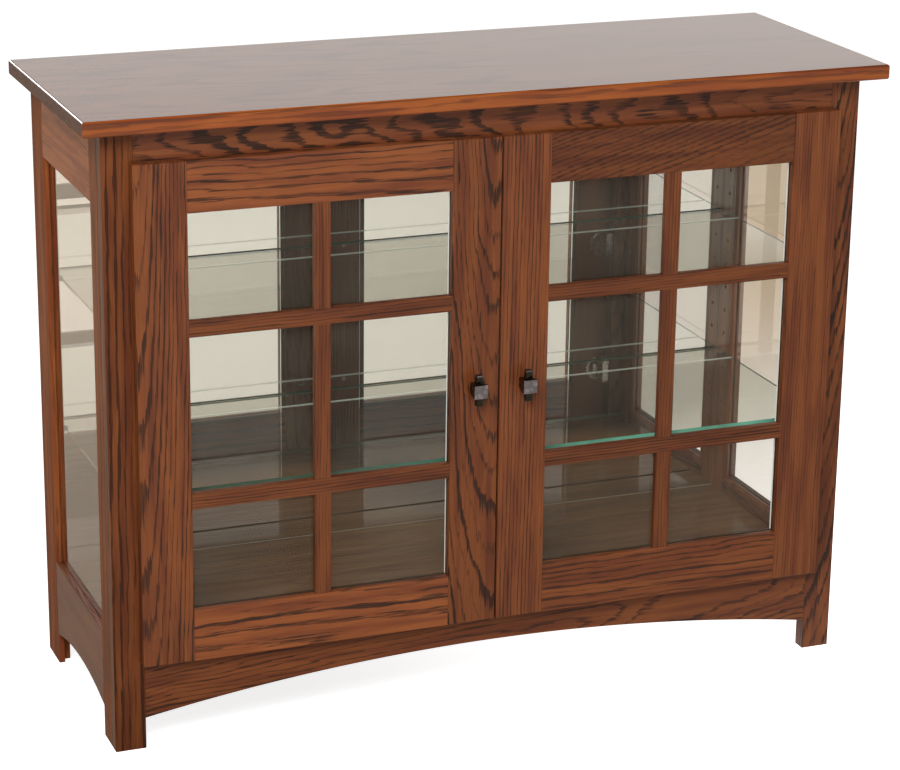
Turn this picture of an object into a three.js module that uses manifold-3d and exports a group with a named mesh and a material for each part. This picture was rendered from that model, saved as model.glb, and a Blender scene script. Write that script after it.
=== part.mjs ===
// Curio console: a waist-high display cabinet with two glazed overlay doors, glazed sides, a mirrored back,
// two glass shelves and four legs joined by shallow arches. Millimetres, +Z up, the front faces -Y.
// The origin is at the middle of the footprint, on the floor.
import * as THREE from 'three';
import { mergeVertices } from 'three/addons/utils/BufferGeometryUtils.js';
import Module from 'manifold-3d';

const wasm = await Module();
wasm.setup();

// Case and top
const OVERALL_HEIGHT = 927;
const CASE_WIDTH = 1146;
const CASE_DEPTH = 398;
const TOP_THICKNESS = 22;
const TOP_SIDE_OVERHANG = 31;
const TOP_FRONT_OVERHANG = 31;
const TOP_EDGE_RADIUS = 3;

// Face frame: stiles down to the floor, a top rail and an arched apron
const FACE_THICKNESS = 22;
const FACE_STILE_WIDTH = 45;
const FACE_RAIL_HEIGHT = 53;
const APRON_TOP_LEVEL = 143;
const ARCH_SPRING = 47;
const FRONT_ARCH_RISE = 44.5;
const SIDE_ARCH_RISE = 18;

// Side frames: an outer lip, then the pane, then the stop that holds it from inside
const SIDE_LIP = 9;
const SIDE_PANE = 3;
const SIDE_STOP = 8;
const SIDE_FRONT_STILE_WIDTH = 40;
const SIDE_BACK_STILE_WIDTH = 64;
const SIDE_RAIL_HEIGHT = 110;
const SIDE_SILL_LEVEL = 166;
const SIDE_RABBET = 12;
const SIDE_STOP_BEVEL = 4;

// Back: the mirror and its backing lie in a rabbet of the side frames
const MIRROR_THICKNESS = 4;
const BACKING_THICKNESS = 6;
const BACK_RECESS = 6;
const BACK_RABBET = 10;
const BACK_RAIL_THICKNESS = 20;
const BACK_TOP_RAIL_HEIGHT = 44;
const BACK_FOOT_RAIL_HEIGHT = 60;

// Deck and shelves. The deck lies a little below the apron's top edge
const DECK_DROP = 6;
const DECK_THICKNESS = 18;
const PLATE_GROOVE_WIDTH = 7;
const PLATE_GROOVE_DEPTH = 3;
const PLATE_GROOVE_OFFSET = 75;
const SHELF_THICKNESS = 6;
const SHELF_END_CLEARANCE = 2;
const SHELF_FRONT_CLEARANCE = 3;
const SHELF_BACK_CLEARANCE = 4;
const SHELF_GROOVE_WIDTH = 4;
const SHELF_GROOVE_DEPTH = 1.5;
const SHELF_GROOVE_OFFSET = 55;
const LOWEST_HOLE_LEVEL = 252;
const HOLE_SPACING = 39;
const HOLE_COUNT = 15;
const LOWER_SHELF_HOLE = 3;
const UPPER_SHELF_HOLE = 9;
const FRONT_HOLE_INSET = 38;
const BACK_HOLE_INSET = 22;
const PEG_RADIUS = 2.5;
const PEG_LENGTH = 8;
const PEG_COLLAR_RADIUS = 4.5;
const PEG_COLLAR_THICKNESS = 1.2;
const PIN_SEAT_LENGTH = 10;
const PIN_SEAT_WIDTH = 8;
const PIN_SEAT_HEIGHT = 6;

// Doors: overlay frames with a pane behind a grid of bars
const DOOR_THICKNESS = 18;
const DOOR_STAND_OFF = 1.5;
const DOOR_SIDE_OVERLAP = 6.5;
const DOOR_END_OVERLAP = 9.5;
const DOOR_CENTRE_GAP = 3;
const DOOR_HINGE_STILE_WIDTH = 75;
const DOOR_LOCK_STILE_WIDTH = 73;
const DOOR_TOP_RAIL_HEIGHT = 72.5;
const DOOR_BOTTOM_RAIL_HEIGHT = 77;
const DOOR_LIP = 11;
const DOOR_PANE = 3;
const DOOR_RABBET = 8;
const MUNTIN_WIDTH = 23.5;
const END_LIGHT_HEIGHT = 152;

// Pulls: a square hammered block with an upright bar through it, held by a screw from behind
const PULL_BLOCK_WIDTH = 21;
const PULL_BASE_WIDTH = 15;
const PULL_PROJECTION = 27;
const PULL_BAR_LENGTH = 47;
const PULL_BAR_WIDTH = 9.5;
const PULL_BAR_THICKNESS = 8;
const PULL_BAR_STAND_OFF = 13;
const SCREW_RADIUS = 2;
const SCREW_HEAD_RADIUS = 4.2;
const SCREW_HEAD_CROWN_RADIUS = 3;
const SCREW_HEAD_HEIGHT = 2.4;
const SCREW_HEAD_RIM = 1.2;
const SCREW_REACH = 8;

// Concealed hinges and bumpers
const CUP_RADIUS = 17.5;
const CUP_DEPTH = 11;
const CUP_WALL = 1.2;
const CUP_FLANGE_RADIUS = 20.5;
const CUP_FLANGE_THICKNESS = 1.2;
const CUP_EDGE_DISTANCE = 4.2;
const HINGE_END_DISTANCE = 95;
const HINGE_PLATE_WIDTH = 12;
const HINGE_PLATE_HEIGHT = 42;
const HINGE_PLATE_DEPTH = 18;
const HINGE_ARM_REACH = 24;
const HINGE_ARM_HEIGHT = 16;
const HINGE_ARM_THICKNESS = 4;
const BUMPER_RADIUS = 4;
const BUMPER_THICKNESS = 1.2;

// Fits
const FIT = 0.3;
const PANE_FIT = 1;

// Where things lie, worked out from the sizes above
const caseHeight = OVERALL_HEIGHT - TOP_THICKNESS;
const halfWidth = CASE_WIDTH / 2;
const doorReach = DOOR_STAND_OFF + DOOR_THICKNESS + PULL_PROJECTION;
const faceY = (doorReach - CASE_DEPTH) / 2;
const backY = faceY + CASE_DEPTH;
const sideThickness = SIDE_LIP + SIDE_PANE + SIDE_STOP;
const innerX = halfWidth - sideThickness;
const backingBackY = backY - BACK_RECESS;
const mirrorBackY = backingBackY - BACKING_THICKNESS;
const mirrorY = mirrorBackY - MIRROR_THICKNESS;
const sideFrontY = faceY + FACE_THICKNESS;
const sideOpening = [sideFrontY + SIDE_FRONT_STILE_WIDTH, backY - SIDE_BACK_STILE_WIDTH];
const sideLights = [SIDE_SILL_LEVEL, caseHeight - SIDE_RAIL_HEIGHT];
const faceOpeningTop = caseHeight - FACE_RAIL_HEIGHT;
const faceInnerX = halfWidth - FACE_STILE_WIDTH;
const deckLevel = APRON_TOP_LEVEL - DECK_DROP;
const doorBackY = faceY - DOOR_STAND_OFF;
const doorFrontY = doorBackY - DOOR_THICKNESS;
const doorLipY = doorFrontY + DOOR_LIP;
const doorZ = [APRON_TOP_LEVEL - DOOR_END_OVERLAP, faceOpeningTop + DOOR_END_OVERLAP];
const doorOuterX = faceInnerX + DOOR_SIDE_OVERLAP;
const doorInnerX = DOOR_CENTRE_GAP / 2;
const doorLightX = [doorInnerX + DOOR_LOCK_STILE_WIDTH, doorOuterX - DOOR_HINGE_STILE_WIDTH];
const doorLightZ = [doorZ[0] + DOOR_BOTTOM_RAIL_HEIGHT, doorZ[1] - DOOR_TOP_RAIL_HEIGHT];
const pullX = doorInnerX + DOOR_LOCK_STILE_WIDTH / 2;
const pullZ = (doorZ[0] + doorZ[1]) / 2;
const cupX = doorOuterX - CUP_EDGE_DISTANCE - CUP_RADIUS;
const hingeLevels = { lower: doorZ[0] + HINGE_END_DISTANCE, upper: doorZ[1] - HINGE_END_DISTANCE };

// Colours and surfaces
const finish = (color, roughness, metalness) =>
  () => new THREE.MeshStandardMaterial({ color, roughness, metalness });
const stainedOak = finish(0x6b3018, 0.38, 0);
const clearGlass = finish(0xdff0ec, 0.03, 0);
const silvered = finish(0xd8dcdc, 0.04, 1);
const backingBoard = finish(0x7a5a3c, 0.7, 0);
const hammeredIron = finish(0x3a3836, 0.45, 0.9);
const nickelSteel = finish(0xb9bbbd, 0.3, 1);
const bronzePin = finish(0x4a3626, 0.4, 0.8);
const clearRubber = finish(0xd9d6cc, 0.6, 0);

const group = new THREE.Group();

function add(name, geometry, surface) {
  const mesh = new THREE.Mesh(geometry, surface());
  mesh.name = name;
  group.add(mesh);
}

// A rectangular board between two corners
function board(x, y, z) {
  const [width, depth, height] = [x, y, z].map(([low, high]) => Math.abs(high - low));
  const geometry = new THREE.BoxGeometry(width, depth, height);
  return geometry.translate((x[0] + x[1]) / 2, (y[0] + y[1]) / 2, (z[0] + z[1]) / 2);
}

// The same distance from the middle on the left (-1) or on the right (1)
const onSide = (side, span) => span.map((value) => side * value);

const widen = ([low, high], margin) => [low - margin, high + margin];

const MERGE_REACH = 1e-3;

function toSolid(geometry) {
  const bare = geometry.clone();
  bare.deleteAttribute('normal');
  bare.deleteAttribute('uv');
  const merged = mergeVertices(bare, MERGE_REACH);
  const mesh = new wasm.Mesh({
    numProp: 3,
    vertProperties: new Float32Array(merged.attributes.position.array),
    triVerts: new Uint32Array(merged.index.array),
  });
  return new wasm.Manifold(mesh);
}

function toGeometry(solid) {
  const { vertProperties, triVerts } = solid.getMesh();
  const geometry = new THREE.BufferGeometry();
  geometry.setAttribute('position', new THREE.BufferAttribute(vertProperties, 3));
  geometry.setIndex(new THREE.BufferAttribute(triVerts, 1));
  geometry.computeVertexNormals();
  return geometry;
}

const carve = (body, cuts) =>
  toGeometry(cuts.reduce((solid, cut) => solid.subtract(toSolid(cut)), toSolid(body)));
const fuse = (pieces) => toGeometry(pieces.map(toSolid).reduce((solid, piece) => solid.add(piece)));

// A profile of [radius, length] points turned about a line that runs from the start point in a direction
function turned(profile, start, direction, segments) {
  const points = profile.map(([radius, length]) => new THREE.Vector2(radius, length));
  const geometry = new THREE.LatheGeometry(points, segments);
  const turn = new THREE.Quaternion().setFromUnitVectors(new THREE.Vector3(0, 1, 0), direction);
  return geometry.applyQuaternion(turn).translate(...start);
}

const peg = (radius, length, start, direction, segments) =>
  turned([[0, 0], [radius, 0], [radius, length], [0, length]], start, direction, segments);

const toFront = new THREE.Vector3(0, -1, 0);
const outward = (side) => new THREE.Vector3(side, 0, 0);

// A box whose front and back faces differ in size: near and far are half sizes at the two ends of y
function taper(x, z, y, near, far) {
  const geometry = new THREE.BoxGeometry(2, 1, 2);
  const position = geometry.attributes.position;
  for (let index = 0; index < position.count; index += 1) {
    const atFar = position.getY(index) > 0;
    const size = atFar ? far : near;
    const depth = y[atFar ? 1 : 0];
    position.setXYZ(index, x + position.getX(index) * size, depth, z + position.getZ(index) * size);
  }
  return geometry;
}

// The outline of a rail with a level top, over an arch that springs from both ends of the span
function archedRail(span, ends, spring, rise, top) {
  const middle = (span[0] + span[1]) / 2;
  const half = (span[1] - span[0]) / 2;
  const radius = (half * half + rise * rise) / (2 * rise);
  const swing = Math.asin(half / radius);
  const shape = new THREE.Shape();
  shape.moveTo(ends[1], top);
  shape.lineTo(ends[0], top);
  shape.lineTo(ends[0], spring);
  if (ends[0] < span[0]) shape.lineTo(span[0], spring);
  shape.absarc(middle, spring + rise - radius, radius, Math.PI / 2 + swing, Math.PI / 2 - swing, true);
  if (ends[1] > span[1]) shape.lineTo(ends[1], spring);
  shape.closePath();
  return shape;
}

// Face frame
for (const [word, side] of [['left', -1], ['right', 1]]) {
  const stile = board(onSide(side, [faceInnerX, halfWidth]), [faceY, sideFrontY], [0, caseHeight]);
  add(`${word}_face_stile`, stile, stainedOak);
}
const faceRail = board([-faceInnerX, faceInnerX], [faceY, sideFrontY], [faceOpeningTop, caseHeight]);
add('face_top_rail', faceRail, stainedOak);

const apronSpan = [-faceInnerX, faceInnerX];
const apron = new THREE.ExtrudeGeometry(
  archedRail(apronSpan, apronSpan, ARCH_SPRING, FRONT_ARCH_RISE, APRON_TOP_LEVEL),
  { depth: FACE_THICKNESS, bevelEnabled: false, curveSegments: 36 },
);
add('front_apron', apron.rotateX(Math.PI / 2).translate(0, sideFrontY, 0), stainedOak);

// Top panel, with its upper and lower edges eased
const topX = halfWidth + TOP_SIDE_OVERHANG - TOP_EDGE_RADIUS;
const topY = [faceY - TOP_FRONT_OVERHANG + TOP_EDGE_RADIUS, backY - TOP_EDGE_RADIUS];
const topOutline = new THREE.Shape();
topOutline.moveTo(-topX, topY[0]);
topOutline.lineTo(topX, topY[0]);
topOutline.lineTo(topX, topY[1]);
topOutline.lineTo(-topX, topY[1]);
topOutline.closePath();
const topPanel = new THREE.ExtrudeGeometry(topOutline, {
  depth: TOP_THICKNESS - 2 * TOP_EDGE_RADIUS,
  bevelThickness: TOP_EDGE_RADIUS,
  bevelSize: TOP_EDGE_RADIUS,
  bevelSegments: 3,
});
add('top_panel', topPanel.translate(0, 0, caseHeight + TOP_EDGE_RADIUS), stainedOak);

// Side frames
const holeLevels = Array.from({ length: HOLE_COUNT }, (_, index) => LOWEST_HOLE_LEVEL + index * HOLE_SPACING);
const holeRowY = { front: faceY + FRONT_HOLE_INSET, back: mirrorY - BACK_HOLE_INSET };

const shelfHoles = (side, y) => holeLevels.map((level) =>
  peg(PEG_RADIUS + FIT, PEG_LENGTH + 2 * FIT + 1, [side * (innerX - 1), y, level], outward(side), 10));

const lipX = [halfWidth - SIDE_LIP, halfWidth + 1];
const rabbetX = [innerX - 1, halfWidth - SIDE_LIP];
const paneX = [halfWidth - SIDE_LIP - SIDE_PANE, halfWidth - SIDE_LIP];
const rabbetOpening = widen(sideOpening, SIDE_RABBET);
const rabbetLights = widen(sideLights, SIDE_RABBET);
const throughZ = [-1, caseHeight + 1];

function sideRail(side, outline) {
  const geometry = new THREE.ExtrudeGeometry(
    outline, { depth: sideThickness, bevelEnabled: false, curveSegments: 18 });
  const upright = new THREE.Matrix4().makeBasis(
    new THREE.Vector3(0, 1, 0), new THREE.Vector3(0, 0, 1), new THREE.Vector3(1, 0, 0));
  return geometry.applyMatrix4(upright).translate(side > 0 ? innerX : -halfWidth, 0, 0);
}

for (const [word, side] of [['left', -1], ['right', 1]]) {
  const thickness = onSide(side, [innerX, halfWidth]);
  const rabbet = onSide(side, rabbetX);
  const outerLip = onSide(side, lipX);

  const frontStile = board(thickness, [sideFrontY, sideOpening[0]], [0, caseHeight]);
  const frontRabbet = board(rabbet, [rabbetOpening[0], sideOpening[0] + 1], throughZ);
  const frontCuts = [frontRabbet, ...shelfHoles(side, holeRowY.front)];
  add(`${word}_side_front_stile`, carve(frontStile, frontCuts), stainedOak);

  const backStile = board(thickness, [sideOpening[1], backY], [0, caseHeight]);
  const backRabbet = board(rabbet, [sideOpening[1] - 1, rabbetOpening[1]], throughZ);
  const mirrorRabbetX = onSide(side, [innerX - 1, innerX + BACK_RABBET]);
  const mirrorRabbet = board(mirrorRabbetX, [mirrorY, backY + 1], throughZ);
  const backCuts = [backRabbet, mirrorRabbet, ...shelfHoles(side, holeRowY.back)];
  add(`${word}_side_back_stile`, carve(backStile, backCuts), stainedOak);

  // The rails' inner layer runs on into the stiles' rabbets, so each rail loses its lip beside the stiles
  const lipFront = (z) => board(outerLip, [rabbetOpening[0] - 1, sideOpening[0]], z);
  const lipBack = (z) => board(outerLip, [sideOpening[1], rabbetOpening[1] + 1], z);

  const topRail = board(thickness, rabbetOpening, [sideLights[1], caseHeight]);
  const topRailRabbet = board(rabbet, widen(rabbetOpening, 1), [sideLights[1] - 1, rabbetLights[1]]);
  const topRailCuts = [topRailRabbet, lipFront(throughZ), lipBack(throughZ)];
  add(`${word}_side_top_rail`, carve(topRail, topRailCuts), stainedOak);

  const outline = archedRail(sideOpening, rabbetOpening, ARCH_SPRING, SIDE_ARCH_RISE, SIDE_SILL_LEVEL);
  const sillRabbet = board(rabbet, widen(rabbetOpening, 1), [rabbetLights[0], SIDE_SILL_LEVEL + 1]);
  const sideApron = carve(sideRail(side, outline), [sillRabbet, lipFront(throughZ), lipBack(throughZ)]);
  add(`${word}_side_apron`, sideApron, stainedOak);

  const pane = board(onSide(side, paneX), widen(rabbetOpening, -PANE_FIT), widen(rabbetLights, -PANE_FIT));
  add(`${word}_side_glass`, pane, clearGlass);

  const stopX = [innerX, innerX + SIDE_STOP];
  const stop = board(onSide(side, stopX), widen(rabbetOpening, -FIT), widen(rabbetLights, -FIT));
  const stopHole = board(onSide(side, widen(stopX, 1)), sideOpening, sideLights);
  const flare = stopHole.clone();
  const position = flare.attributes.position;
  for (let index = 0; index < position.count; index += 1) {
    const inside = Math.abs(position.getX(index)) < innerX;
    const slope = (SIDE_STOP_BEVEL + 1) * (inside ? 1 : 0);
    const reachX = inside ? innerX - 1 : innerX + SIDE_STOP_BEVEL;
    const pushY = position.getY(index) > (sideOpening[0] + sideOpening[1]) / 2 ? slope : -slope;
    const pushZ = position.getZ(index) > (sideLights[0] + sideLights[1]) / 2 ? slope : -slope;
    position.setXYZ(index, side * reachX, position.getY(index) + pushY, position.getZ(index) + pushZ);
  }
  add(`${word}_side_glass_stop`, carve(stop, [stopHole, flare]), stainedOak);
}

// Back, deck and mirror
const betweenSides = [-innerX, innerX];
const backX = innerX + BACK_RABBET - FIT;
const deckUnderside = deckLevel - DECK_THICKNESS;
const backRailY = [mirrorY - BACK_RAIL_THICKNESS, mirrorY];
const backTopRailZ = [caseHeight - BACK_TOP_RAIL_HEIGHT, caseHeight];
add('back_top_rail', board(betweenSides, backRailY, backTopRailZ), stainedOak);
const backFootRailZ = [deckUnderside - BACK_FOOT_RAIL_HEIGHT, deckUnderside];
add('back_bottom_rail', board(betweenSides, backRailY, backFootRailZ), stainedOak);
const backingZ = [backFootRailZ[0], caseHeight - FIT];
add('back_panel', board([-backX, backX], [mirrorBackY, backingBackY], backingZ), backingBoard);
add('mirror', board([-backX, backX], [mirrorY, mirrorBackY], [deckLevel, caseHeight - FIT]), silvered);

const grooveMiddle = mirrorY - PLATE_GROOVE_OFFSET;
const grooveY = widen([grooveMiddle, grooveMiddle], PLATE_GROOVE_WIDTH / 2);
const plateGroove = board([-halfWidth, halfWidth], grooveY, [deckLevel - PLATE_GROOVE_DEPTH, deckLevel + 1]);
const deck = board(betweenSides, [sideFrontY, mirrorBackY], [deckUnderside, deckLevel]);
add('deck_panel', carve(deck, [plateGroove]), stainedOak);

// Glass shelves and the pins that carry them
const shelfX = innerX - SHELF_END_CLEARANCE;
const shelfY = [sideFrontY + SHELF_FRONT_CLEARANCE, mirrorY - SHELF_BACK_CLEARANCE];
const shelfGrooveMiddle = shelfY[1] - SHELF_GROOVE_OFFSET;
const shelfGrooveY = widen([shelfGrooveMiddle, shelfGrooveMiddle], SHELF_GROOVE_WIDTH / 2);
for (const [word, hole] of [['lower', LOWER_SHELF_HOLE], ['upper', UPPER_SHELF_HOLE]]) {
  const level = holeLevels[hole];
  const underside = level + PIN_SEAT_HEIGHT / 2;
  const surface = underside + SHELF_THICKNESS;
  const shelf = board([-shelfX, shelfX], shelfY, [underside, surface]);
  const shelfGrooveZ = [surface - SHELF_GROOVE_DEPTH, surface + 1];
  const shelfGroove = board([-halfWidth, halfWidth], shelfGrooveY, shelfGrooveZ);
  add(`${word}_glass_shelf`, carve(shelf, [shelfGroove]), clearGlass);
  for (const [sideWord, side] of [['left', -1], ['right', 1]]) {
    for (const row of ['front', 'back']) {
      const y = holeRowY[row];
      const seatX = onSide(side, [innerX - PIN_SEAT_LENGTH, innerX - PEG_COLLAR_THICKNESS / 2]);
      const seat = board(seatX, widen([y, y], PIN_SEAT_WIDTH / 2), [level - PIN_SEAT_HEIGHT / 2, underside]);
      const stem = turned([
        [0, 0], [PEG_COLLAR_RADIUS, 0], [PEG_COLLAR_RADIUS, PEG_COLLAR_THICKNESS],
        [PEG_RADIUS, PEG_COLLAR_THICKNESS], [PEG_RADIUS, PEG_COLLAR_THICKNESS + PEG_LENGTH],
        [0, PEG_COLLAR_THICKNESS + PEG_LENGTH],
      ], [side * (innerX - PEG_COLLAR_THICKNESS), y, level], outward(side), 12);
      add(`shelf_pin_${word}_${sideWord}_${row}`, fuse([seat, stem]), bronzePin);
    }
  }
}

// Doors
const doorRabbetY = [doorLipY, doorBackY + 1];
const doorLipCutY = [doorFrontY - 1, doorLipY];
const rabbetLightX = widen(doorLightX, DOOR_RABBET);
const rabbetLightZ = widen(doorLightZ, DOOR_RABBET);
const muntinZ = {
  lower: [doorLightZ[0] + END_LIGHT_HEIGHT, doorLightZ[0] + END_LIGHT_HEIGHT + MUNTIN_WIDTH],
  upper: [doorLightZ[1] - END_LIGHT_HEIGHT - MUNTIN_WIDTH, doorLightZ[1] - END_LIGHT_HEIGHT],
};

for (const [word, side] of [['left', -1], ['right', 1]]) {
  const door = `${word}_door`;
  const span = (x) => onSide(side, x);
  const doorY = [doorFrontY, doorBackY];

  const hingeStile = board(span([doorLightX[1], doorOuterX]), doorY, doorZ);
  const hingeRabbet = board(span([doorLightX[1] - 1, rabbetLightX[1]]), doorRabbetY, widen(doorZ, 1));
  const cupBores = Object.values(hingeLevels).map((level) =>
    peg(CUP_RADIUS + FIT, CUP_DEPTH + FIT + 1, [side * cupX, doorBackY + 1, level], toFront, 28));
  add(`${door}_hinge_stile`, carve(hingeStile, [hingeRabbet, ...cupBores]), stainedOak);

  const lockStile = board(span([doorInnerX, doorLightX[0]]), doorY, doorZ);
  const lockRabbet = board(span([rabbetLightX[0], doorLightX[0] + 1]), doorRabbetY, widen(doorZ, 1));
  const screwHole = peg(
    SCREW_RADIUS + FIT, DOOR_THICKNESS + 2, [side * pullX, doorBackY + 1, pullZ], toFront, 12);
  add(`${door}_lock_stile`, carve(lockStile, [lockRabbet, screwHole]), stainedOak);

  const rails = [
    ['top_rail', [doorLightZ[1], doorZ[1]], [doorLightZ[1] - 1, rabbetLightZ[1]]],
    ['bottom_rail', [doorZ[0], doorLightZ[0]], [rabbetLightZ[0], doorLightZ[0] + 1]],
  ];
  for (const [rail, z, rabbetZ] of rails) {
    const blank = board(span(rabbetLightX), doorY, z);
    const paneRabbet = board(span(widen(rabbetLightX, 1)), doorRabbetY, rabbetZ);
    const lockShoulder = board(span([rabbetLightX[0] - 1, doorLightX[0]]), doorLipCutY, widen(z, 1));
    const hingeShoulder = board(span([doorLightX[1], rabbetLightX[1] + 1]), doorLipCutY, widen(z, 1));
    add(`${door}_${rail}`, carve(blank, [paneRabbet, lockShoulder, hingeShoulder]), stainedOak);
  }

  const barY = [doorFrontY, doorLipY];
  const lightMiddle = (doorLightX[0] + doorLightX[1]) / 2;
  const mullion = board(span(widen([lightMiddle, lightMiddle], MUNTIN_WIDTH / 2)), barY, doorLightZ);
  const crossBars = Object.values(muntinZ).map((z) => board(span(doorLightX), barY, z));
  add(`${door}_muntin_grid`, fuse([mullion, ...crossBars]), stainedOak);

  const paneY = [doorLipY, doorLipY + DOOR_PANE];
  const pane = board(span(widen(rabbetLightX, -PANE_FIT)), paneY, widen(rabbetLightZ, -PANE_FIT));
  add(`${door}_glass`, pane, clearGlass);

  const stopY = [paneY[1], doorBackY];
  const stop = board(span(widen(rabbetLightX, -FIT)), stopY, widen(rabbetLightZ, -FIT));
  const stopHole = board(span(doorLightX), widen(stopY, 1), doorLightZ);
  add(`${door}_glass_stop`, carve(stop, [stopHole]), stainedOak);

  // The pull's block widens to the front, and the screw's bore stops inside it
  const pullFrontY = doorFrontY - PULL_PROJECTION;
  const barFrontY = doorFrontY - PULL_BAR_STAND_OFF - PULL_BAR_THICKNESS;
  const blockY = [pullFrontY, doorFrontY];
  const block = taper(side * pullX, pullZ, blockY, PULL_BLOCK_WIDTH / 2, PULL_BASE_WIDTH / 2);
  const bar = board(
    widen([side * pullX, side * pullX], PULL_BAR_WIDTH / 2),
    [barFrontY, barFrontY + PULL_BAR_THICKNESS],
    widen([pullZ, pullZ], PULL_BAR_LENGTH / 2),
  );
  const pullBore = peg(
    SCREW_RADIUS + FIT, SCREW_REACH + FIT + 1, [side * pullX, doorFrontY + 1, pullZ], toFront, 12);
  add(`${door}_pull`, toGeometry(toSolid(fuse([block, bar])).subtract(toSolid(pullBore))), hammeredIron);

  const screwLength = SCREW_HEAD_HEIGHT + DOOR_THICKNESS + SCREW_REACH;
  const screw = turned([
    [0, 0], [SCREW_HEAD_CROWN_RADIUS, 0], [SCREW_HEAD_RADIUS, SCREW_HEAD_HEIGHT - SCREW_HEAD_RIM],
    [SCREW_HEAD_RADIUS, SCREW_HEAD_HEIGHT], [SCREW_RADIUS, SCREW_HEAD_HEIGHT],
    [SCREW_RADIUS, screwLength], [0, screwLength],
  ], [side * pullX, doorBackY + SCREW_HEAD_HEIGHT, pullZ], toFront, 12);
  add(`${door}_pull_screw`, screw, nickelSteel);

  const bumperZ = doorZ[1] - DOOR_END_OVERLAP / 2;
  const bumper = peg(
    BUMPER_RADIUS, BUMPER_THICKNESS, [side * pullX, doorBackY + BUMPER_THICKNESS, bumperZ], toFront, 16);
  add(`${door}_bumper`, bumper, clearRubber);

  for (const [place, level] of Object.entries(hingeLevels)) {
    const rim = CUP_FLANGE_THICKNESS;
    const cup = turned([
      [0, rim + CUP_DEPTH - CUP_WALL], [CUP_RADIUS - CUP_WALL, rim + CUP_DEPTH - CUP_WALL],
      [CUP_RADIUS - CUP_WALL, 0], [CUP_FLANGE_RADIUS, 0], [CUP_FLANGE_RADIUS, rim],
      [CUP_RADIUS, rim], [CUP_RADIUS, rim + CUP_DEPTH], [0, rim + CUP_DEPTH],
    ], [side * cupX, doorBackY + rim, level], toFront, 28);
    add(`${door}_hinge_cup_${place}`, cup, nickelSteel);

    // The arm's front face lies just behind the cup's rim, so the closed door is carried there
    const armY = doorBackY + rim + FIT;
    const plateY = [armY, armY + HINGE_PLATE_DEPTH];
    const plateX = span([faceInnerX - HINGE_PLATE_WIDTH, faceInnerX]);
    const plate = board(plateX, plateY, widen([level, level], HINGE_PLATE_HEIGHT / 2));
    const arm = board(
      span([faceInnerX - HINGE_ARM_REACH, faceInnerX - HINGE_PLATE_WIDTH / 2]),
      [armY, armY + HINGE_ARM_THICKNESS],
      widen([level, level], HINGE_ARM_HEIGHT / 2),
    );
    add(`hinge_arm_${word}_${place}`, fuse([plate, arm]), nickelSteel);
  }
}

export default group;
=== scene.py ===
import math

import bpy
from mathutils import Matrix, Vector


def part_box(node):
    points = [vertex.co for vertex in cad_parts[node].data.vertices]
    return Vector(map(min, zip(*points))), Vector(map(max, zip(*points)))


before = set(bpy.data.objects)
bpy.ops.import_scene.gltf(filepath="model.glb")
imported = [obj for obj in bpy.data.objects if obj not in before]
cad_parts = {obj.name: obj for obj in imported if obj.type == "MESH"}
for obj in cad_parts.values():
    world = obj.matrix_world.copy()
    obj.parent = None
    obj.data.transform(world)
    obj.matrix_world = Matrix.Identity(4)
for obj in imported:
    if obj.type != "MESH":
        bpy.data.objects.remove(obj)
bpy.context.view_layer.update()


# Face frame: two oak stiles that run down as the front legs, the top rail and the arched apron. Open-grained
# oak boards in a dark reddish-brown stain under a satin lacquer, with their sawn edges eased by sanding.
class Signal:
    """An output of a shader node. Arithmetic on such outputs adds the Math nodes that it needs."""

    def __init__(self, finish, socket):
        self.finish = finish
        self.socket = socket

    def __add__(self, other):
        return self.finish.math("ADD", self, other)

    def __sub__(self, other):
        return self.finish.math("SUBTRACT", self, other)

    def __rsub__(self, other):
        return self.finish.math("SUBTRACT", other, self)

    def __mul__(self, other):
        return self.finish.math("MULTIPLY", self, other)

    def __truediv__(self, other):
        return self.finish.math("DIVIDE", self, other)

    def __rtruediv__(self, other):
        return self.finish.math("DIVIDE", other, self)

    def __pow__(self, other):
        return self.finish.math("POWER", self, other)

    __radd__ = __add__
    __rmul__ = __mul__


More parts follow.
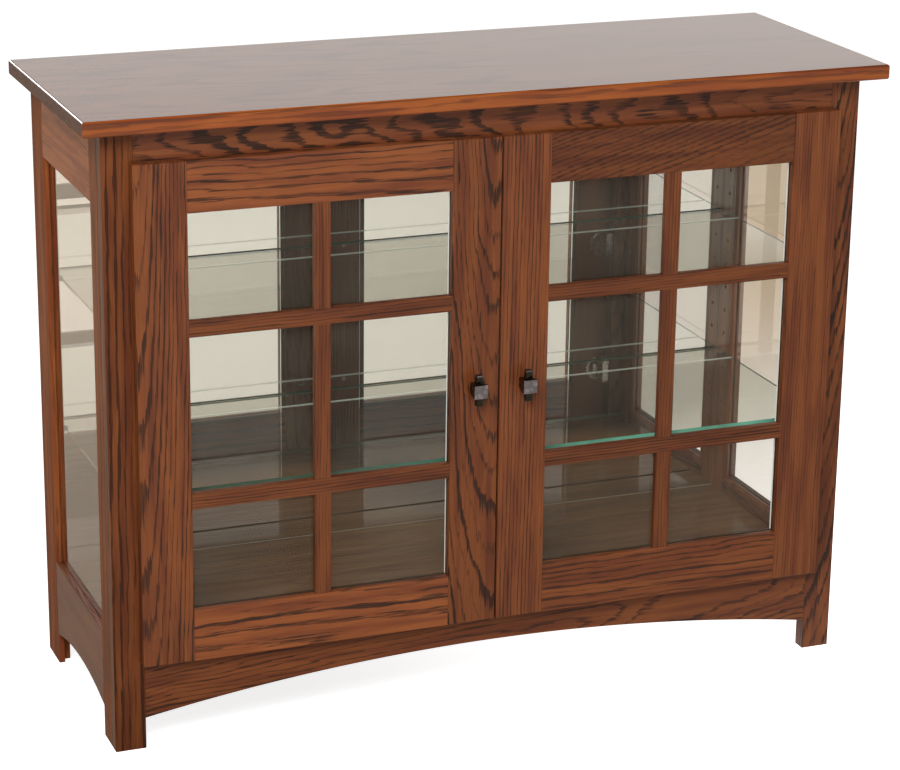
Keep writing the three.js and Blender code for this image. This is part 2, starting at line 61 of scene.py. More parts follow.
class Finish:
    """A material, or the sky, mixed from nodes."""

    def __init__(self, name, owner=None):
        self.owner = owner or bpy.data.materials.new(name)
        self.owner.use_nodes = True
        self.tree = self.owner.node_tree
        self.tree.nodes.clear()

    def node(self, kind, settings, sockets, output=0):
        """Adds a node and gives one of its outputs. A socket goes by its number or its name."""
        made = self.tree.nodes.new("ShaderNode" + kind)
        for name, value in settings.items():
            setattr(made, name, value)
        for name, value in sockets.items():
            socket = self.pick(made.inputs, name)
            if isinstance(value, Signal):
                self.tree.links.new(value.socket, socket)
            else:
                socket.default_value = value
        return Signal(self, self.pick(made.outputs, output)) if made.outputs else None

    def pick(self, sockets, name):
        if isinstance(name, int):
            return sockets[name]
        return next(one for one in sockets if name in (one.identifier, one.name))

    def math(self, operation, *values):
        return self.node("Math", {"operation": operation}, dict(enumerate(values)))

    def steps(self, value, low, high):
        """Rises smoothly from 0 to 1 as the value goes from low to high."""
        return self.node("MapRange", {"interpolation_type": "SMOOTHSTEP"}, {
            "Value": value, "From Min": low, "From Max": high})

    def spot(self):
        """The point that is shaded, in metres in the frame of the whole console."""
        return self.node("TexCoord", {}, {}, "Object")

    def part(self, spot, axis):
        return self.node("SeparateXYZ", {}, {0: spot}, axis)

    def noise(self, spot, scale, detail=2.0):
        return self.node("TexNoise", {}, {"Vector": spot, "Scale": scale, "Detail": detail})

    def blend(self, factor, first, second, kind="MIX"):
        return self.node("Mix", {"data_type": "RGBA", "blend_type": kind}, {
            "Factor_Float": factor, "A_Color": first, "B_Color": second}, "Result_Color")

    def surface(self, sockets):
        return self.node("BsdfPrincipled", {}, sockets)

    def mix(self, factor, first, second):
        return self.node("MixShader", {}, {0: factor, 1: first, 2: second})

    def close(self, shader):
        self.node("OutputMaterial", {}, {"Surface": shader})
        self.owner.cycles.emission_sampling = "NONE"
        return self.owner


def stain(red, green, blue):
    """A colour as a screen shows it, 0 to 255, in the linear values that shaders take."""
    lit = (red / 255, green / 255, blue / 255)
    return tuple(share / 12.92 if share < 0.04 else ((share + 0.055) / 1.055) ** 2.4 for share in lit) + (1,)


X, Y, Z = 0, 1, 2
PALE_OAK = stain(144, 82, 44)
RED_OAK = stain(110, 57, 34)
DARK_OAK = stain(50, 31, 22)
SATIN_IOR = 1.3
PORE_DEPTH = 0.0003
EASED_EDGE = 0.0008
LEDGE_DULLNESS = 0.3


def figure(
        finish, box, run, face, heart, lean, ring, wander=0.015, curl=(0.3, 13.0), share=0.14, seed=1.0,
        plank=0.0):
    """How dark the stained grain is, 0 to 1, on a board sawn along one axis from a log whose heart lies
    beside or behind the face. heart is (across, behind) in metres and lean is how far it drifts per metre.
    ring is the width of a year's ring and share the dark part of it. wander is how far the rings wave and
    curl how short and how close the waves are. plank is the width of the boards where a panel is glued up.
    The clouds and the fine fibres of the same board come with it."""
    across = 3 - run - face
    low, high = box
    middle = [(low[axis] + high[axis]) / 2 for axis in range(3)]
    spot = finish.spot()
    place = [finish.part(spot, axis) for axis in range(3)]
    along = place[run] - middle[run]
    side = place[across] - middle[across]
    deep = place[face] - middle[face]
    shift = seed
    if plank:
        # Each board of a glued panel comes from another place in the log.
        index = finish.math("FLOOR", side / plank)
        chance = finish.node("TexWhiteNoise", {"noise_dimensions": "1D"}, {"W": index + seed})
        side = side - (index + 0.5) * plank + (chance - 0.5) * plank * 0.8
        shift = chance * 37.0 + seed

    def streaks(stretch, scale, detail=2.0):
        return finish.noise(
            finish.node("CombineXYZ", {}, {0: along * stretch + shift, 1: side, 2: deep}), scale, detail)

    waves = streaks(*curl)
    teeth = streaks(stretch=0.06, scale=330.0)
    fibres = streaks(stretch=0.03, scale=520.0, detail=3.0)
    mottle = streaks(stretch=0.08, scale=70.0)
    # The rings are counted outward from the heart, and their edges are ragged.
    off_side = side - heart[0] - along * lean[0] + (waves - 0.5) * wander
    off_deep = deep - heart[1] - along * lean[1] + (waves - 0.5) * wander * 0.6
    age = (off_side * off_side + off_deep * off_deep) ** 0.5 / ring + (teeth - 0.5) * 0.7
    season = finish.math("FRACT", age)
    luck = finish.node(
        "TexWhiteNoise", {"noise_dimensions": "1D"}, {"W": finish.math("FLOOR", age) + seed * 3.1})
    # Each ring has a dark band of its own width and strength, frayed along the fibres.
    width = luck * share * 1.5 + share * 0.2 + (fibres - 0.5) * 0.5 + (mottle - 0.5) * 0.35
    band = finish.steps(season, 0.0, 0.05) * (1 - finish.steps(season - width, 0.0, 0.2)) * (luck * 0.6 + 0.5)
    # Open pores are short dark dashes, which also show between the bands.
    dashes = finish.steps(fibres, 0.44, 0.66)
    pores = dashes * (finish.steps(mottle, 0.35, 0.65) * 0.4 + 0.12) * (1 - season * 0.5)
    dark = band * (dashes * 0.4 + 0.75) + pores
    return finish.math("MINIMUM", dark, 1.0), mottle, fibres


def oak_finish(
        darkness, mottle, fibres, bold=1.0, tone=1.0, ior=SATIN_IOR, rough=0.3, grip=0.15, flecks=0.9,
        stains=(PALE_OAK, RED_OAK)):
    """bold is how strongly the dark grain shows, tone how light the board is, grip how deep its pores can be
    felt and flecks how strongly its fine fibres show."""
    finish = darkness.finish
    warm = finish.blend(finish.steps(mottle, 0.3, 0.7), *stains)
    grain = finish.blend(darkness * bold, warm, DARK_OAK)
    clouds = ((mottle - 0.5) * 0.5 + (fibres - 0.5) * flecks + 1.0) * tone
    shade = finish.node("CombineXYZ", {}, {0: clouds, 1: clouds, 2: clouds})
    colour = finish.blend(1.0, grain, shade, "MULTIPLY")
    relief = finish.node("Bump", {}, {"Strength": grip, "Distance": PORE_DEPTH, "Height": 1 - darkness})
    return finish.close(finish.surface({
        "Base Color": colour, "Roughness": darkness * (rough / 3) + rough, "Normal": relief, "IOR": ior}))


def dress(node, material):
    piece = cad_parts[node]
    piece.data.materials.clear()
    piece.data.materials.append(material)


def ease(node, reach=EASED_EDGE):
    """Rounds the sharp edges of a piece."""
    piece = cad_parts[node]
    weld = piece.modifiers.new("joined_corners", "WELD")
    weld.merge_threshold = 0.00001
    edge = piece.modifiers.new("eased_edges", "BEVEL")
    edge.width = reach
    edge.segments = 2
    edge.limit_method = "ANGLE"
    edge.angle_limit = math.radians(30)
    edge.harden_normals = True


def oak_board(node, grain, lacquer, dull_from=None):
    """dull_from is the height from which a board is less polished, because it is a ledge there."""
    finish = Finish("oak_" + node)
    if dull_from:
        ledge = finish.math("GREATER_THAN", finish.part(finish.spot(), Z), dull_from)
        lacquer = dict(lacquer, rough=ledge * LEDGE_DULLNESS + lacquer["rough"])
    dress(node, oak_finish(*figure(finish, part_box(node), **grain), **lacquer))
    ease(node)


oak_board(
    "left_face_stile",
    dict(run=Z, face=Y, heart=(-0.05, 0.02), lean=(0.01, 0.0), ring=0.0085, wander=0.016, curl=(0.5, 16.0),
         share=0.16, seed=3.0),
    dict(bold=0.86, tone=0.68, ior=1.2))
oak_board(
    "right_face_stile",
    dict(run=Z, face=Y, heart=(-0.02, 0.05), lean=(0.02, -0.1), ring=0.006, wander=0.05, curl=(0.4, 14.0),
         share=0.2, seed=11.0),
    dict(tone=0.8))
oak_board(
    "face_top_rail",
    dict(run=X, face=Y, heart=(0.012, 0.075), lean=(0.0, -0.12), ring=0.0075, wander=0.05, curl=(0.4, 17.0),
         share=0.24, seed=5.0),
    dict(tone=0.97))
oak_board(
    "front_apron",
    dict(run=X, face=Y, heart=(-0.02, 0.05), lean=(0.12, 0.05), ring=0.006, wander=0.05, curl=(0.4, 14.0),
         share=0.24, seed=7.0),
    dict(tone=0.8))

# Side frames: oak stiles, a wide top rail and an arched apron around a clear pane, which a bevelled oak stop
# holds from inside. The inner faces of the stiles carry the rows of holes for the shelf pins, and the upper
# edge of the apron, a ledge under the pane, is less polished than its face.
GLOSSY_IOR = 1.6
LEDGE_SKIN = 0.002
for number, word in enumerate(("left", "right")):
    for piece, run, heart, lean, seed, tone, ior in (
        ("front_stile", Z, (-0.12, 0.03), (0.01, 0.0), 43.0, 1.05, 1.08),
        ("back_stile", Z, (0.12, 0.03), (0.01, 0.0), 41.0, 1.3, 1.05),
        ("top_rail", Y, (0.1, 0.08), (0.0, 0.1), 37.0, 1.6, 1.15),
        ("apron", Y, (0.1, 0.07), (0.0, 0.08), 31.0, 0.75, 1.25),
        ("glass_stop", Z, (0.2, 0.03), (0.0, 0.0), 41.0, 1.0, 1.02),
    ):
        node = f"{word}_side_{piece}"
        oak_board(
            node,
            dict(run=run, face=X, heart=heart, lean=lean, ring=0.005, seed=seed + number),
            dict(bold=0.6, tone=tone, ior=ior if word == "left" else GLOSSY_IOR, rough=0.2, grip=0.03),
            dull_from=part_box(node)[1].z - LEDGE_SKIN if piece == "apron" else None)

# Top: a solid oak panel glued up from boards, eased all round and screwed down to the case from below. Its
# face has a smooth gloss. Its sawn edges are duller, and the end ones are darker and the front one lighter
# than the face.
TOP_BOARD_WIDTH = 0.108
TOP_FACE_SKIN = 0.002
TOP_FRONT_SKIN = 0.003
TOP_EASED_EDGE = 0.0012
TOP_STAINS = (stain(158, 82, 24), stain(122, 54, 16))
top_finish = Finish("oak_top_panel")
top_dark, top_mottle, top_fibres = figure(
    top_finish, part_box("top_panel"), run=X, face=Z, heart=(0.0, -0.06), lean=(0.0, 0.05), ring=0.008,
    wander=0.03, share=0.2, seed=41.0, plank=TOP_BOARD_WIDTH)
edge_dark, edge_mottle, edge_fibres = figure(
    top_finish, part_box("top_panel"), run=X, face=Y, heart=(0.06, 0.02), lean=(0.006, 0.0), ring=0.0035,
    wander=0.01, share=0.25, seed=42.0)
top_depth, top_level = (top_finish.part(top_finish.spot(), axis) for axis in (Y, Z))
sawn_edge = top_finish.math("LESS_THAN", top_level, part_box("top_panel")[1].z - TOP_FACE_SKIN)
front_edge = top_finish.math("LESS_THAN", top_depth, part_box("top_panel")[0].y + TOP_FRONT_SKIN)
top_dark, top_mottle, top_fibres = (
    on_face * (1 - front_edge) + on_edge * front_edge
    for on_face, on_edge in (
        (top_dark * 0.45, edge_dark * 0.6), (top_mottle, edge_mottle), (top_fibres, edge_fibres)))
dress("top_panel", oak_finish(
    top_dark, top_mottle, top_fibres, tone=0.55 - sawn_edge * 0.25 + front_edge * 0.7, ior=1.54,
    rough=sawn_edge * 0.4 + 0.14, grip=0.03, flecks=0.4, stains=TOP_STAINS))
ease("top_panel", TOP_EASED_EDGE)

# Back and deck: an oak deck with a plate groove in a greyer stain, two oak rails, and a thin brown backing
# board in the rabbet of the side frames, behind the mirror.
DECK_STAINS = (stain(146, 106, 72), stain(120, 86, 60))
oak_board(
    "deck_panel",
    dict(run=X, face=Z, heart=(0.0, -0.06), lean=(0.0, 0.04), ring=0.0065, wander=0.03, seed=43.0),
    dict(bold=0.3, tone=0.88, ior=1.2, rough=0.03, grip=0.0, flecks=0.2, stains=DECK_STAINS))
for node, seed in (("back_top_rail", 45.0), ("back_bottom_rail", 47.0)):
    oak_board(node, dict(run=X, face=Y, heart=(0.1, 0.04), lean=(0.02, 0.0), ring=0.006, seed=seed), {})

board_finish = Finish("brown_backing_board")
board_specks = board_finish.noise(board_finish.spot(), 260.0, 3.0)
board_colour = board_finish.blend(board_specks, stain(112, 82, 56), stain(150, 114, 80))
dress("back_panel", board_finish.close(board_finish.surface({
    "Base Color": board_colour, "Roughness": board_specks * 0.2 + 0.55})))

# Mirror: one sheet of silvered glass across the whole back. It stands on the deck on its ground lower edge,
# along which a thin pale line is painted: a painted highlight, patchy with noise.
PAINTED_LINE_HEIGHT = 0.0011
mirror_finish = Finish("silvered_glass")
mirror_spot = mirror_finish.spot()
mirror_haze = mirror_finish.noise(mirror_spot, 3.0, 1.0)
mirror_colour = mirror_finish.blend(mirror_haze, (0.86, 0.85, 0.82, 1), (0.88, 0.87, 0.84, 1))
# Painted highlight: the colour of the thin pale line along the lower edge, lighter and darker with noise.
highlight_line_colour = mirror_finish.blend(mirror_haze, stain(206, 200, 184), stain(120, 116, 104))
silver = mirror_finish.surface({"Base Color": mirror_colour, "Metallic": 1.0, "Roughness": 0.0})
ground = mirror_finish.surface({"Base Color": highlight_line_colour, "Roughness": 0.2})
mirror_level = mirror_finish.part(mirror_spot, Z)
highlight_line = mirror_finish.math("LESS_THAN", mirror_level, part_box("mirror")[0].z + PAINTED_LINE_HEIGHT)
dress("mirror", mirror_finish.close(mirror_finish.mix(highlight_line, silver, ground)))

# Panes and shelves: clear float glass. Each sheet lets light straight through, reflects more of it at a low
# angle, and shows its green body where the cut edge is seen; along the front that edge is painted lighter
# toward the right and in patches, which is painted light. A shelf has a groove for plates ground into it near
# the back, whose frosted walls are made to glow a little: painted light.
PANE_BODY = (0.985, 0.985, 0.975, 1)
PANE_EDGES = (stain(70, 120, 96), stain(84, 132, 108))
SIDE_PANE_IOR = 1.5
SHELF_BODY = (0.96, 0.98, 0.94, 1)
SHELF_EDGES = (stain(44, 78, 62), stain(112, 204, 176))
SHELF_IOR = 1.5
SHELF_EDGE_LINE = 0.0025
SHELF_GROOVE_OFFSET = 0.055
GROOVE_HALF_WIDTH = 0.0022
GROOVE_DEPTH = 0.0017
GROOVE_FROST = 0.35
GROOVE_PAINTED_GLOW = 0.35
GLASS_SKIN = 0.00005
CUT_EDGE_SKIN = 0.0001
FRONT_EDGE_SKIN = 0.0005
DUST = stain(255, 243, 211)


def glass_finish(node, face, body, edges, ior, groove=0.0, dust=0.0):
    """edges are the colours of the cut edge in the shade and in the light, groove is the distance of a
    shelf's groove from the back, and dust is how much of the light a film of dust catches."""
    finish = Finish("clear_glass_" + node)
    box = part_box(node)
    spot = finish.spot()
    place = [finish.part(spot, axis) for axis in range(3)]
    rim = 0.0
    for axis in range(3):
        if axis != face:
            reach = (box[1][axis] - box[0][axis]) / 2
            off = finish.math("ABSOLUTE", place[axis] - (box[0][axis] + reach))
            line = finish.math("GREATER_THAN", off, reach - CUT_EDGE_SKIN)
            rim = finish.math("MAXIMUM", line, rim)
    once = finish.node("Fresnel", {}, {"IOR": ior})
    both = (once * 2.0) / (once + 1.0) * (1 - finish.node("NewGeometry", {}, {}, "Backfacing"))
    smudge = finish.noise(spot, 9.0)
    clear = finish.node("BsdfTransparent", {}, {"Color": body})
    shine = finish.surface({"Base Color": (1, 1, 1, 1), "Metallic": 1.0, "Roughness": smudge * 0.02})
    sheet = finish.mix(both, clear, shine)
    if dust:
        film = finish.node("BsdfDiffuse", {}, {"Color": DUST})
        sheet = finish.mix(smudge * dust, sheet, film)
    if groove:
        off = finish.math("ABSOLUTE", place[Y] - (box[1].y - groove))
        below_face = finish.math("LESS_THAN", place[Z], box[1].z - GLASS_SKIN)
        above_floor = finish.math("GREATER_THAN", place[Z], box[1].z - GROOVE_DEPTH)
        cut_in = finish.math("LESS_THAN", off, GROOVE_HALF_WIDTH) * below_face * above_floor
        frost_colour = finish.blend(smudge, stain(224, 228, 222), stain(196, 204, 194))
        # Painted light: the frosted groove also glows a little.
        frost = finish.surface({
            "Base Color": frost_colour, "Emission Color": frost_colour, "Emission Strength": GROOVE_PAINTED_GLOW,
            "Roughness": 0.3})
        sheet = finish.mix(cut_in * GROOVE_FROST, sheet, frost)
    front = finish.math("LESS_THAN", place[Y], box[0].y + FRONT_EDGE_SKIN)
    if face == Z:
        upper_line = finish.math("GREATER_THAN", place[Z], box[1].z - SHELF_EDGE_LINE)
        rim = rim * finish.math("MAXIMUM", front, upper_line)
    # Painted light: along the front, the cut edge is lighter toward the right and in patches.
    bright_patch = finish.steps(finish.noise(spot, 14.0), 0.3, 0.7)
    lit = finish.steps(place[X], box[0].x * 0.6, box[1].x * 0.9) * front * (bright_patch * 0.6 + 0.5)
    cut = finish.surface({"Base Color": finish.blend(lit, *edges), "Roughness": smudge * 0.1 + 0.08})
    return finish.close(finish.mix(rim, sheet, cut))


for word in ("left", "right"):
    node = f"{word}_side_glass"
    dress(node, glass_finish(node, X, PANE_BODY, PANE_EDGES, SIDE_PANE_IOR))
for word in ("lower", "upper"):
    node = f"{word}_glass_shelf"
    dress(node, glass_finish(node, Z, SHELF_BODY, SHELF_EDGES, SHELF_IOR, SHELF_GROOVE_OFFSET))

# Shelf pins: small dark bronzed pins with a flat seat, turned from rod and pushed into the holes of the side
# posts. Four of them carry each shelf, and they are worn a little brighter in places.
PIN_EASED_EDGE = 0.0005
pin_finish = Finish("dark_bronze_pin")
pin_worn = pin_finish.noise(pin_finish.spot(), 420.0)
pin_colour = pin_finish.blend(pin_worn, stain(58, 44, 34), stain(104, 84, 62))
pin_material = pin_finish.close(pin_finish.surface({
    "Base Color": pin_colour, "Metallic": 0.8, "Roughness": pin_worn * 0.2 + 0.3}))
for level in ("lower", "upper"):
    for word in ("left", "right"):
        for row in ("front", "back"):
            dress(f"shelf_pin_{level}_{word}_{row}", pin_material)
            ease(f"shelf_pin_{level}_{word}_{row}", PIN_EASED_EDGE)

# Door frames: oak stiles with the rails between them, flush on the face. The boards of the left door show
# flame figures, and those of the right door are cut with straighter grain.
DOOR_GRAIN = {
    "left_door_hinge_stile": (
        dict(run=Z, heart=(-0.034, 0.03), lean=(0.0, -0.045), ring=0.0048, curl=(0.4, 15.0), share=0.17),
        dict(bold=0.93, tone=0.8)),
    "left_door_lock_stile": (
        dict(run=Z, heart=(0.03, 0.055), lean=(0.0, -0.08), ring=0.005, curl=(0.4, 15.0), share=0.17),
        dict(tone=0.74)),
    "left_door_top_rail": (
        dict(run=X, heart=(-0.045, 0.03), lean=(0.01, 0.03), ring=0.0085, wander=0.03, curl=(0.35, 20.0),
             share=0.16),
        dict(tone=0.98)),
    "left_door_bottom_rail": (
        dict(run=X, heart=(-0.035, 0.02), lean=(0.0, 0.03), ring=0.013, wander=0.03, curl=(0.35, 20.0),
             share=0.2),
        dict(tone=1.1)),
    "right_door_hinge_stile": (
        dict(run=Z, heart=(0.2, 0.05), lean=(0.01, 0.0), ring=0.0045, wander=0.006),
        dict(bold=0.7, tone=0.84)),
    "right_door_lock_stile": (
        dict(run=Z, heart=(-0.2, 0.05), lean=(0.01, 0.0), ring=0.0055, wander=0.008),
        dict(bold=0.8, tone=0.86)),
    "right_door_top_rail": (
        dict(run=X, heart=(-0.12, 0.1), lean=(0.3, 0.0), ring=0.0055, wander=0.03, share=0.18),
        dict(bold=0.75, tone=0.6)),
    "right_door_bottom_rail": (
        dict(run=X, heart=(-0.07, 0.03), lean=(0.01, 0.01), ring=0.0085, wander=0.03, curl=(0.35, 20.0),
             share=0.18),
        dict(bold=0.9, tone=0.88)),
}
for number, (node, (grain, lacquer)) in enumerate(DOOR_GRAIN.items()):
    oak_board(node, dict(face=Y, seed=51.0 + 2 * number, **grain), lacquer)

# Muntin grids: flat oak bars in front of the pane of each door. The two cross bars run through and the
# upright bar is cut between them, so the grain turns where they cross.
BAR_WIDTH = 0.0235
END_LIGHT_HEIGHT = 0.152
BAR_GRAIN = dict(face=Y, heart=(0.2, 0.03), lean=(0.01, 0.0), wander=0.01)
for number, word in enumerate(("left", "right")):
    grid = f"{word}_door_muntin_grid"
    grid_finish = Finish("oak_" + grid)
    low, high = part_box(grid)
    level = grid_finish.part(grid_finish.spot(), Z)
    crossing = 0.0
    for start in (low.z + END_LIGHT_HEIGHT, high.z - END_LIGHT_HEIGHT - BAR_WIDTH):
        above = grid_finish.math("GREATER_THAN", level, start)
        crossing = above * grid_finish.math("LESS_THAN", level, start + BAR_WIDTH) + crossing
    upright, upright_mottle, upright_fibres = figure(
        grid_finish, (low, high), run=Z, ring=0.005, seed=71.0 + number, **BAR_GRAIN)
    bar, bar_mottle, bar_fibres = figure(
        grid_finish, (low, high), run=X, ring=0.0045, seed=73.0 + number, share=0.2, **BAR_GRAIN)
    darkness, mottle, fibres = (
        on_upright * (1 - crossing) + on_bar * crossing
        for on_upright, on_bar in (
            (upright * 0.7, bar), (upright_mottle, bar_mottle), (upright_fibres, bar_fibres)))
    dress(grid, oak_finish(darkness, mottle, fibres, bold=0.85, tone=0.71))
    ease(grid)

# Door panes: one sheet of clear glass in each door, under a faint film of dust. A clear strip holds it from
# behind, which takes the brown of the wood around it; its upright edges carry a painted highlight, white and
# glowing.
DOOR_PANE_IOR = 1.2
DOOR_PANE_DUST = 0.028
EDGE_HIGHLIGHT_WHITES = (stain(240, 242, 240), stain(206, 208, 204))
EDGE_HIGHLIGHT_GLOW = 0.3
STRIP_BROWNS = (stain(66, 50, 38), stain(52, 40, 31))
for word in ("left", "right"):
    node = f"{word}_door_glass"
    dress(node, glass_finish(node, Y, PANE_BODY, PANE_EDGES, DOOR_PANE_IOR, dust=DOOR_PANE_DUST))
    stop = f"{word}_door_glass_stop"
    strip_finish = Finish("clear_strip_" + stop)
    # Painted highlight: the upright edges, found by their sideways normal, are white and glow.
    facing = strip_finish.node("NewGeometry", {}, {}, "True Normal")
    sideways = strip_finish.math("ABSOLUTE", strip_finish.part(facing, X))
    polished = strip_finish.math("GREATER_THAN", sideways, 0.5)
    haze = strip_finish.noise(strip_finish.spot(), 60.0)
    strip_highlight_white = strip_finish.blend(haze, *EDGE_HIGHLIGHT_WHITES)
    painted_edge_highlight = strip_finish.surface({
        "Base Color": strip_highlight_white, "Emission Color": strip_highlight_white, "Emission Strength": EDGE_HIGHLIGHT_GLOW,
        "Roughness": 0.15})
    body = strip_finish.surface({"Base Color": strip_finish.blend(haze, *STRIP_BROWNS), "Roughness": 0.15})
    dress(stop, strip_finish.close(strip_finish.mix(polished, body, painted_edge_highlight)))

# Bumpers: a small clear dot of soft plastic, stuck on the back of each door at the top of its lock stile,
# where the door meets the face frame.
bumper_finish = Finish("clear_soft_bumper")
bumper_haze = bumper_finish.noise(bumper_finish.spot(), 400.0)
bumper_colour = bumper_finish.blend(bumper_haze, stain(214, 214, 206), stain(190, 190, 182))
bumper_material = bumper_finish.close(bumper_finish.surface({
    "Base Color": bumper_colour, "Roughness": bumper_haze * 0.2 + 0.2}))
for word in ("left", "right"):
    dress(f"{word}_door_bumper", bumper_material)

# Pulls: forged iron, a square hammered block on an upright bar, blackened and waxed. The face of the block
# and the tip of the bar are painted lighter, a painted highlight, apart from the bottoms of the dents.
PULL_EASED_EDGE = 0.004
HIGHLIGHT_FULL_REACH = 0.001
HIGHLIGHT_EDGE_REACH = 0.004
iron_finish = Finish("hammered_black_iron")
iron_spot = iron_finish.spot()
dents = iron_finish.node(
    "TexVoronoi", {"feature": "SMOOTH_F1"}, {"Vector": iron_spot, "Scale": 125.0, "Smoothness": 0.5})
iron_depth, iron_level = (iron_finish.part(iron_spot, axis) for axis in (Y, Z))
pull_low, pull_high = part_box("left_door_pull")
# Painted highlight: the front face of the block and the tip of the bar are made lighter.
face_highlight = 1 - iron_finish.steps(iron_depth, pull_low.y + HIGHLIGHT_FULL_REACH, pull_low.y + HIGHLIGHT_EDGE_REACH)
tip_highlight = iron_finish.steps(iron_level, pull_high.z - HIGHLIGHT_EDGE_REACH, pull_high.z - HIGHLIGHT_FULL_REACH)
dent_bottom = iron_finish.steps(dents, 0.25, 0.6)
iron_highlight = iron_finish.math("MAXIMUM", face_highlight, tip_highlight) * (1 - dent_bottom * 0.4)
iron_colour = iron_finish.blend(iron_highlight, stain(48, 48, 40), stain(136, 131, 134))
iron_relief = iron_finish.node("Bump", {}, {"Strength": 0.9, "Distance": 0.002, "Height": dents})
iron_material = iron_finish.close(iron_finish.surface({
    "Base Color": iron_colour, "Metallic": 1.0, "Roughness": dents * 0.2 + 0.2, "Normal": iron_relief}))
for word in ("left", "right"):
    dress(f"{word}_door_pull", iron_material)
    ease(f"{word}_door_pull", PULL_EASED_EDGE)

# Hinges and screws: nickel-plated steel. Each door has two concealed hinges, whose cups sit in its hinge
# stile and whose arms are screwed to the face frame, and one screw that holds its pull from behind.
steel_finish = Finish("nickel_plated_steel")
steel_haze = steel_finish.noise(steel_finish.spot(), 300.0)
steel_colour = steel_finish.blend(steel_haze, (0.34, 0.33, 0.32, 1), (0.5, 0.49, 0.47, 1))
steel_material = steel_finish.close(steel_finish.surface({
    "Base Color": steel_colour, "Metallic": 1.0, "Roughness": steel_haze * 0.15 + 0.2}))
for word in ("left", "right"):
    dress(f"{word}_door_pull_screw", steel_material)
    for place in ("lower", "upper"):
        dress(f"{word}_door_hinge_cup_{place}", steel_material)
        dress(f"hinge_arm_{word}_{place}", steel_material)

# Floor: a plain pale floor, which a direct look shows as white. In the mirror, the glass and the lacquer its
# colour changes with place: brown beside the console at the left, tan far behind and grey in front. Near the
# console at the right it is pale and glows more, a painted pool of light.
FLOOR_REACH = 30.0
FLOOR_IN_VIEW = (0.9, 0.9, 0.9, 1)
FLOOR_IN_FRONT = (0.66, 0.605, 0.56, 1)
NEAR_FLOOR = ((0.42, 0.35, 0.28, 1), (0.97, 0.95, 0.92, 1))
FAR_FLOOR = ((0.9, 0.76, 0.6, 1), (0.74, 0.57, 0.41, 1))
FLOOR_GLOW = 0.34
GLOW_IN_VIEW = 0.55
LIGHT_POOL_GLOW = 0.58
floor_mesh = bpy.data.meshes.new("pale_floor")
corners = [(side * FLOOR_REACH, back * FLOOR_REACH, 0) for side, back in ((-1, -1), (1, -1), (1, 1), (-1, 1))]
floor_mesh.from_pydata(corners, [], [(0, 1, 2, 3)])
floor = bpy.data.objects.new("pale_floor", floor_mesh)
bpy.context.scene.collection.objects.link(floor)

floor_finish = Finish("pale_floor")
on_camera, on_gloss, on_glass, panes_passed = (floor_finish.node("LightPath", {}, {}, kind) for kind in (
    "Is Camera Ray", "Is Glossy Ray", "Is Transmission Ray", "Transparent Depth"))
direct = on_camera * floor_finish.math("LESS_THAN", panes_passed, 0.5)
seen = floor_finish.math("MINIMUM", on_camera + on_gloss + on_glass, 1.0)
floor_spot = floor_finish.spot()
floor_side, floor_back = (floor_finish.part(floor_spot, axis) for axis in (X, Y))
beside = floor_finish.steps(floor_back, -0.6, -0.1)
right_hand = floor_finish.steps(floor_side, -0.3, 0.7)
far_off = floor_finish.steps(floor_back * (right_hand * 0.3 + 1.0), 0.3, 2.4)
# Painted light: the near floor at the right is pale, a pool of light.
near_colour = floor_finish.blend(right_hand, *NEAR_FLOOR)
far_colour = floor_finish.blend(right_hand, *FAR_FLOOR)
reflected = floor_finish.blend(beside, FLOOR_IN_FRONT, floor_finish.blend(far_off, near_colour, far_colour))
floor_colour = floor_finish.blend(direct, reflected, FLOOR_IN_VIEW)
matt = floor_finish.node("BsdfDiffuse", {}, {"Color": floor_colour})
# Painted light: the near floor at the right also glows more, a pool of light.
painted_light_pool = beside * right_hand * (1 - far_off)
strength = seen * (direct * GLOW_IN_VIEW + painted_light_pool * LIGHT_POOL_GLOW + FLOOR_GLOW)
glow = floor_finish.node("Emission", {}, {"Color": floor_colour, "Strength": strength})
floor_mesh.materials.append(floor_finish.close(floor_finish.node("AddShader", {}, {0: matt, 1: glow})))

# Light: a soft sky, brightest low down at the back, and a large soft window at the front left that no
# reflection shows. A low pale board in front gives the doors their sheen, and reflections alone show a small
# window behind.
SKY_COLOUR = (1.0, 0.965, 0.93, 1)
sky = Finish("soft_sky", bpy.data.worlds.new("soft_sky"))
bpy.context.scene.world = sky.owner
sky_way = sky.node("TexCoord", {}, {}, "Generated")
toward_back, upward = (sky.part(sky_way, axis) for axis in (Y, Z))
low_band = (1 - sky.steps(upward, 0.24, 0.28)) * 0.9 + 0.2
brightness = sky.steps(toward_back, -0.3, 0.5) * low_band + 0.12
sky.node("OutputWorld", {}, {
    "Surface": sky.node("Background", {}, {"Color": SKY_COLOUR, "Strength": brightness})})


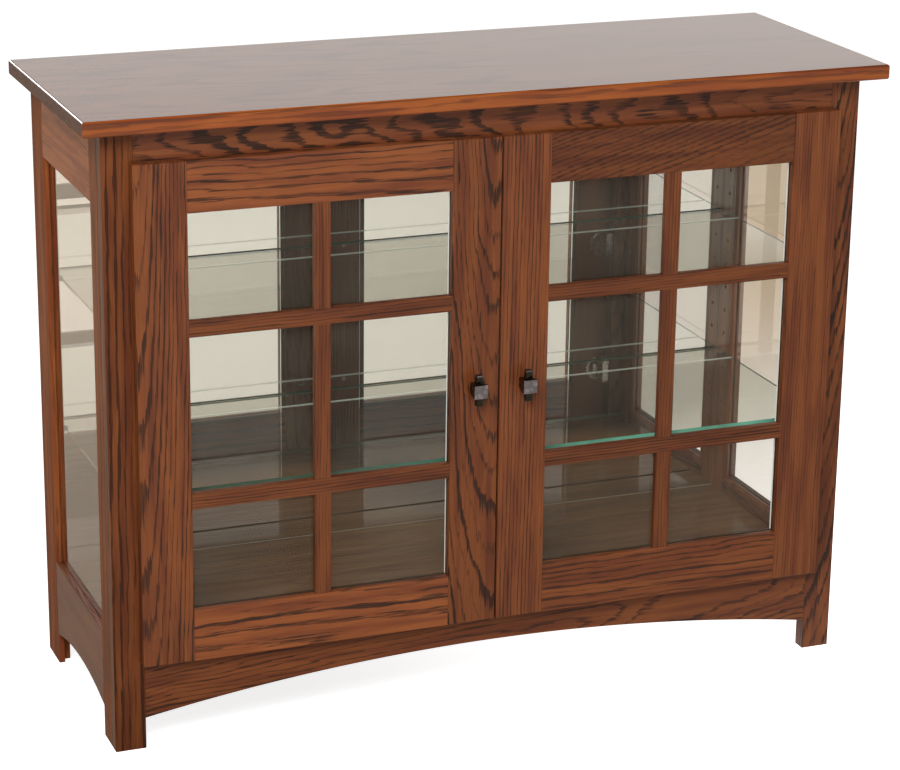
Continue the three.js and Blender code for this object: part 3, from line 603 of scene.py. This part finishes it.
def hang_lamp(name, width, height, power, place, target, diffuse=True, glossy=True):
    lamp = bpy.data.lights.new(name, "AREA")
    lamp.shape = "RECTANGLE"
    lamp.size = width
    lamp.size_y = height
    lamp.energy = power
    holder = bpy.data.objects.new(name, lamp)
    holder.location = place
    holder.visible_diffuse = diffuse
    holder.visible_glossy = glossy
    holder.rotation_euler = (Vector(target) - holder.location).to_track_quat("-Z", "Y").to_euler()
    bpy.context.scene.collection.objects.link(holder)


hang_lamp(
    "soft_window", width=2.6, height=1.8, power=200.0, place=(-2.0, -3.2, 3.4), target=(0.0, 0.0, 0.5),
    glossy=False)
hang_lamp("low_board", width=6.0, height=1.8, power=24.0, place=(0.6, -3.95, 0.93), target=(0.6, 0.0, 0.93))
hang_lamp(
    "back_window", width=0.7, height=1.5, power=45.0, place=(-1.45, 2.9, 2.1), target=(-0.5, 0.0, 0.9),
    diffuse=False)

# Camera: where the photograph was taken from, at the front left and about twice as high as the console, with
# a long lens.
VIEW_PLACE = (-1.48027, -3.75441, 1.76584)
VIEW_AZIMUTH, VIEW_ELEVATION, VIEW_ROLL = (math.radians(angle) for angle in (21.5334, -18.2451, 0.7390))
SENSOR_WIDTH = 36.0
FOCAL_LENGTH = 112.975
forward = Vector((
    math.sin(VIEW_AZIMUTH) * math.cos(VIEW_ELEVATION),
    math.cos(VIEW_AZIMUTH) * math.cos(VIEW_ELEVATION),
    math.sin(VIEW_ELEVATION),
))
level_right = forward.cross(Vector((0, 0, 1))).normalized()
level_up = level_right.cross(forward)
view_right = math.cos(VIEW_ROLL) * level_right + math.sin(VIEW_ROLL) * level_up
view_up = math.cos(VIEW_ROLL) * level_up - math.sin(VIEW_ROLL) * level_right
camera = bpy.data.objects.new("camera", bpy.data.cameras.new("camera"))
camera.data.sensor_fit = "HORIZONTAL"
camera.data.sensor_width = SENSOR_WIDTH
camera.data.lens = FOCAL_LENGTH
turn = Matrix((view_right, view_up, -forward)).transposed()
camera.matrix_world = Matrix.Translation(VIEW_PLACE) @ turn.to_4x4()
bpy.context.scene.collection.objects.link(camera)
bpy.context.scene.camera = camera
bpy.context.scene.view_settings.view_transform = "Standard"
